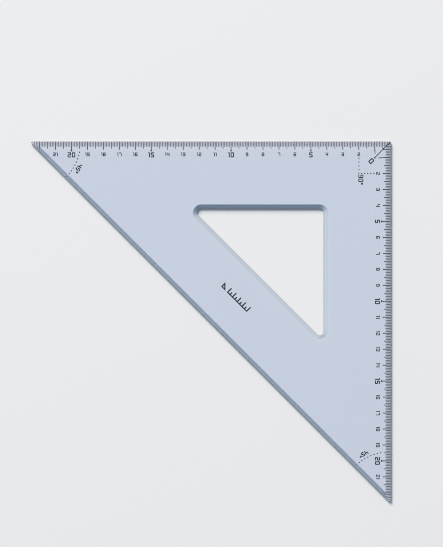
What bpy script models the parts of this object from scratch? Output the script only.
"""A 45 degree set square: one moulded plate of clear plastic, with a triangular window, and the black
marks stamped into its underside. It lies flat, its right-angled corner towards +X and +Y, and the
middle of its box stands at the origin. Metres, +Z up."""

import math

import bmesh
import bpy
from mathutils import Vector

# The plate.
LONG_SIDE = 0.320  # between the two sharp vertices: the size that the set square is sold by
THICKNESS = 0.0022
EDGE_HEIGHT = 0.0014  # the upright part of the outer edges, under their bevel
LEG_BEVEL = 0.0033  # width of the bevel along the two graduated legs
LONG_BEVEL = 0.0024  # width of the bevel along the long side
TIP_RADIUS = 0.0008
CORNER_RADIUS = 0.0003
BORDER = 0.0421  # from each outer edge to the window
WINDOW_BEVEL = 0.0026
WINDOW_EDGE_HEIGHT = 0.0008  # the upright part of the window's edges
WINDOW_RADIUS = 0.0025
ARC_STEPS = 10

# The stamped marks.
CENTIMETRE = 0.010
LINES_PER_LEG = 22
LINE_WIDTH = 0.00040
LINE_START = 0.00015  # from the plate's edge to the end of a line
LINE_END = 0.0050
FIFTH_LINE_END = 0.0060  # each fifth line is longer, and ends in a short crossbar
CROSSBAR_LENGTH = 0.0012
CROSSBAR_WIDTH = 0.0004
POINTER_WIDTH = 0.00034
POINTER_DOTS = (0.0011, 0.0065)  # their centres, from the right-angled corner
POINTER_DOT_RADIUS = 0.00048
POINTER_END = 0.0145
DOT_STEPS = 8
DOT_TIP = math.radians(9)  # from the first dot's foremost point to its outline's first corner

# The shallow groove that each mark lies in.
INK_BOTTOM = 0.00003
INK_TOP = 0.00010
GROOVE_DEPTH = 0.00014
GROOVE_GAP = 0.00005
CUTTER_REACH = 0.001  # how far the groove cutter stands out below the plate

LEG = LONG_SIDE / math.sqrt(2)
SIDE = LEG - math.sqrt(2) * TIP_RADIUS  # of the square box round the plate, whose tips are rounded
CORNER = Vector((SIDE / 2, SIDE / 2))  # the right-angled vertex, where both scales start


def clear_scene():
    for thing in list(bpy.data.objects):
        bpy.data.objects.remove(thing, do_unlink=True)


def new_collection(name):
    made = bpy.data.collections.new(name)
    bpy.context.scene.collection.children.link(made)
    return made


def rounded(corners, radii):
    """The outline of a polygon with each corner rounded by its own radius."""
    outline = []
    for i, (corner, radius) in enumerate(zip(corners, radii)):
        back = (corners[i - 1] - corner).normalized()
        ahead = (corners[(i + 1) % len(corners)] - corner).normalized()
        half_angle = back.angle(ahead) / 2
        centre = corner + (back + ahead).normalized() * radius / math.sin(half_angle)
        first = corner + back * radius / math.tan(half_angle) - centre
        last = corner + ahead * radius / math.tan(half_angle) - centre
        turn = first.angle(last)
        for step in range(ARC_STEPS + 1):
            share = step / ARC_STEPS
            spoke = (first * math.sin((1 - share) * turn) + last * math.sin(share * turn)) / math.sin(turn)
            outline.append(centre + spoke)
    return outline


def triangle(leg_inset, long_inset, tip_radius, corner_radius):
    """The plate's outline, drawn in from its legs and from its long side."""
    near = CORNER - Vector((leg_inset, leg_inset))
    leg = LEG - 2 * leg_inset - math.sqrt(2) * long_inset
    corners = [near, near - Vector((leg, 0)), near - Vector((0, leg))]
    return rounded(corners, [corner_radius, tip_radius, tip_radius])


def clear_polystyrene():
    material = bpy.data.materials.new("clear_polystyrene")
    material.use_nodes = True
    shader = material.node_tree.nodes["Principled BSDF"]
    shader.inputs["Base Color"].default_value = (0.78, 0.85, 0.95, 1)
    shader.inputs["Roughness"].default_value = 0.06
    shader.inputs["Metallic"].default_value = 0
    shader.inputs["IOR"].default_value = 1.59
    shader.inputs["Transmission Weight"].default_value = 1
    return material


def black_foil():
    material = bpy.data.materials.new("black_foil")
    material.use_nodes = True
    shader = material.node_tree.nodes["Principled BSDF"]
    shader.inputs["Base Color"].default_value = (0.012, 0.013, 0.018, 1)
    shader.inputs["Roughness"].default_value = 0.55
    shader.inputs["Metallic"].default_value = 0
    return material


def plate_blank(collection):
    """The plate before stamping: a loft up its outside, over the top, down the window and back below."""
    outside = triangle(0, 0, TIP_RADIUS, CORNER_RADIUS)
    top_rim = triangle(LEG_BEVEL, LONG_BEVEL, CORNER_RADIUS, CORNER_RADIUS)
    wide_radius = WINDOW_RADIUS + WINDOW_BEVEL
    window_rim = triangle(BORDER - WINDOW_BEVEL, BORDER - WINDOW_BEVEL, wide_radius, wide_radius)
    window = triangle(BORDER, BORDER, WINDOW_RADIUS, WINDOW_RADIUS)
    sections = [
        (outside, 0),
        (outside, EDGE_HEIGHT),
        (top_rim, THICKNESS),
        (window_rim, THICKNESS),
        (window, WINDOW_EDGE_HEIGHT),
        (window, 0),
    ]
    loft = bmesh.new()
    rings = [[loft.verts.new((p.x, p.y, height)) for p in outline] for outline, height in sections]
    for ring, following in zip(rings, rings[1:] + rings[:1]):
        for i in range(len(ring)):
            j = (i + 1) % len(ring)
            loft.faces.new((ring[i], ring[j], following[j], following[i]))
    bmesh.ops.recalc_face_normals(loft, faces=loft.faces)
    mesh = bpy.data.meshes.new("plate")
    loft.to_mesh(mesh)
    loft.free()
    plate = bpy.data.objects.new("plate", mesh)
    collection.objects.link(plate)
    return plate


def both_sides(stations):
    """A closed outline from one side of it: pairs of how far along the mark, and how far across."""
    return [Vector(s) for s in stations] + [Vector((along, -across)) for along, across in reversed(stations)]


def line_outline(number):
    """A centimetre line, which runs in from the edge of the plate."""
    half = LINE_WIDTH / 2
    if number % 5:
        return both_sides([(LINE_START, half), (LINE_END, half)])
    shoulder = FIFTH_LINE_END - CROSSBAR_WIDTH
    stem = [(LINE_START, half), (shoulder, half)]
    return both_sides(stem + [(shoulder, CROSSBAR_LENGTH / 2), (FIFTH_LINE_END, CROSSBAR_LENGTH / 2)])


def pointer_outline():
    """The zero pointer: a line with a dot at its start, another on the way, and a crossbar at its end."""
    half = POINTER_WIDTH / 2
    neck = math.asin(half / POINTER_DOT_RADIUS)
    stations = []
    for number, centre in enumerate(POINTER_DOTS):
        start = neck if number else DOT_TIP
        for step in range(DOT_STEPS + 1):
            angle = math.pi - start - (math.pi - start - neck) * step / DOT_STEPS
            across = POINTER_DOT_RADIUS * math.sin(angle)
            stations.append((centre + POINTER_DOT_RADIUS * math.cos(angle), across))
    shoulder = POINTER_END - CROSSBAR_WIDTH
    stations += [(shoulder, half), (shoulder, CROSSBAR_LENGTH / 2), (POINTER_END, CROSSBAR_LENGTH / 2)]
    return both_sides(stations)


def placed(outline, origin, along):
    """The outline laid on the plate, running from origin in the direction along."""
    across = Vector((-along.y, along.x))
    return [origin + along * point.x + across * point.y for point in outline]


def grown(outline, gap):
    """The outline moved outwards by gap, with its corners kept sharp."""
    area = sum(a.x * b.y - b.x * a.y for a, b in zip(outline, outline[1:] + outline[:1]))
    outwards = math.copysign(1, area)
    moved = []
    for before, here, after in zip(outline[-1:] + outline[:-1], outline, outline[1:] + outline[:1]):
        arriving = (here - before).normalized() * outwards
        leaving = (after - here).normalized() * outwards
        first = Vector((arriving.y, -arriving.x))
        second = Vector((leaving.y, -leaving.x))
        moved.append(here + (first + second) * gap / (1 + first.dot(second)))
    return moved


def slab(name, outlines, bottom, top, collection):
    """A flat solid between two heights, with one island for each outline."""
    curve = bpy.data.curves.new(name, "CURVE")
    curve.dimensions = "2D"
    curve.fill_mode = "BOTH"
    curve.extrude = (top - bottom) / 2
    for outline in outlines:
        spline = curve.splines.new("POLY")
        spline.points.add(len(outline) - 1)
        for point, place in zip(spline.points, outline):
            point.co = (place.x, place.y, 0, 1)
        spline.use_cyclic_u = True
    drawn = bpy.data.objects.new(name + "_outline", curve)
    drawn.location.z = (bottom + top) / 2
    collection.objects.link(drawn)
    bpy.context.view_layer.update()
    depsgraph = bpy.context.evaluated_depsgraph_get()
    mesh = bpy.data.meshes.new_from_object(drawn.evaluated_get(depsgraph))
    weld = bmesh.new()
    weld.from_mesh(mesh)
    bmesh.ops.remove_doubles(weld, verts=weld.verts, dist=1e-6)
    bmesh.ops.recalc_face_normals(weld, faces=weld.faces)
    weld.to_mesh(mesh)
    weld.free()
    solid = bpy.data.objects.new(name, mesh)
    solid.matrix_world = drawn.matrix_world
    collection.objects.link(solid)
    bpy.data.objects.remove(drawn, do_unlink=True)
    bpy.data.curves.remove(curve)
    return solid


def mark_outlines():
    """Every stamped mark by name: the centimetre lines of both legs, and the zero pointer."""
    leftwards, downwards = Vector((-1, 0)), Vector((0, -1))
    marks = {"zero_pointer": placed(pointer_outline(), CORNER, (leftwards + downwards).normalized())}
    for number in range(1, LINES_PER_LEG + 1):
        line, reach = line_outline(number), number * CENTIMETRE
        marks[f"x_scale_line_{number:02d}"] = placed(line, CORNER + leftwards * reach, downwards)
        marks[f"y_scale_line_{number:02d}"] = placed(line, CORNER + downwards * reach, leftwards)
    return marks


def stamp(plate, marks, cutters):
    """Presses a shallow groove for each mark into the underside of the plate."""
    outlines = [grown(outline, GROOVE_GAP) for outline in marks.values()]
    cutter = slab("groove_cutter", outlines, -CUTTER_REACH, GROOVE_DEPTH, cutters)
    cutter.hide_render = True
    cutter.display_type = "WIRE"
    grooves = plate.modifiers.new("stamped_grooves", "BOOLEAN")
    grooves.operation = "DIFFERENCE"
    grooves.solver = "EXACT"
    grooves.object = cutter


def build():
    clear_scene()
    parts = new_collection("set_square")
    cutters = new_collection("cutters")
    plate = plate_blank(parts)
    plate.data.materials.append(clear_polystyrene())
    marks = mark_outlines()
    stamp(plate, marks, cutters)
    foil = black_foil()
    for name, outline in marks.items():
        mark = slab(name, [outline], INK_BOTTOM, INK_TOP, parts)
        mark.data.materials.append(foil)


build()
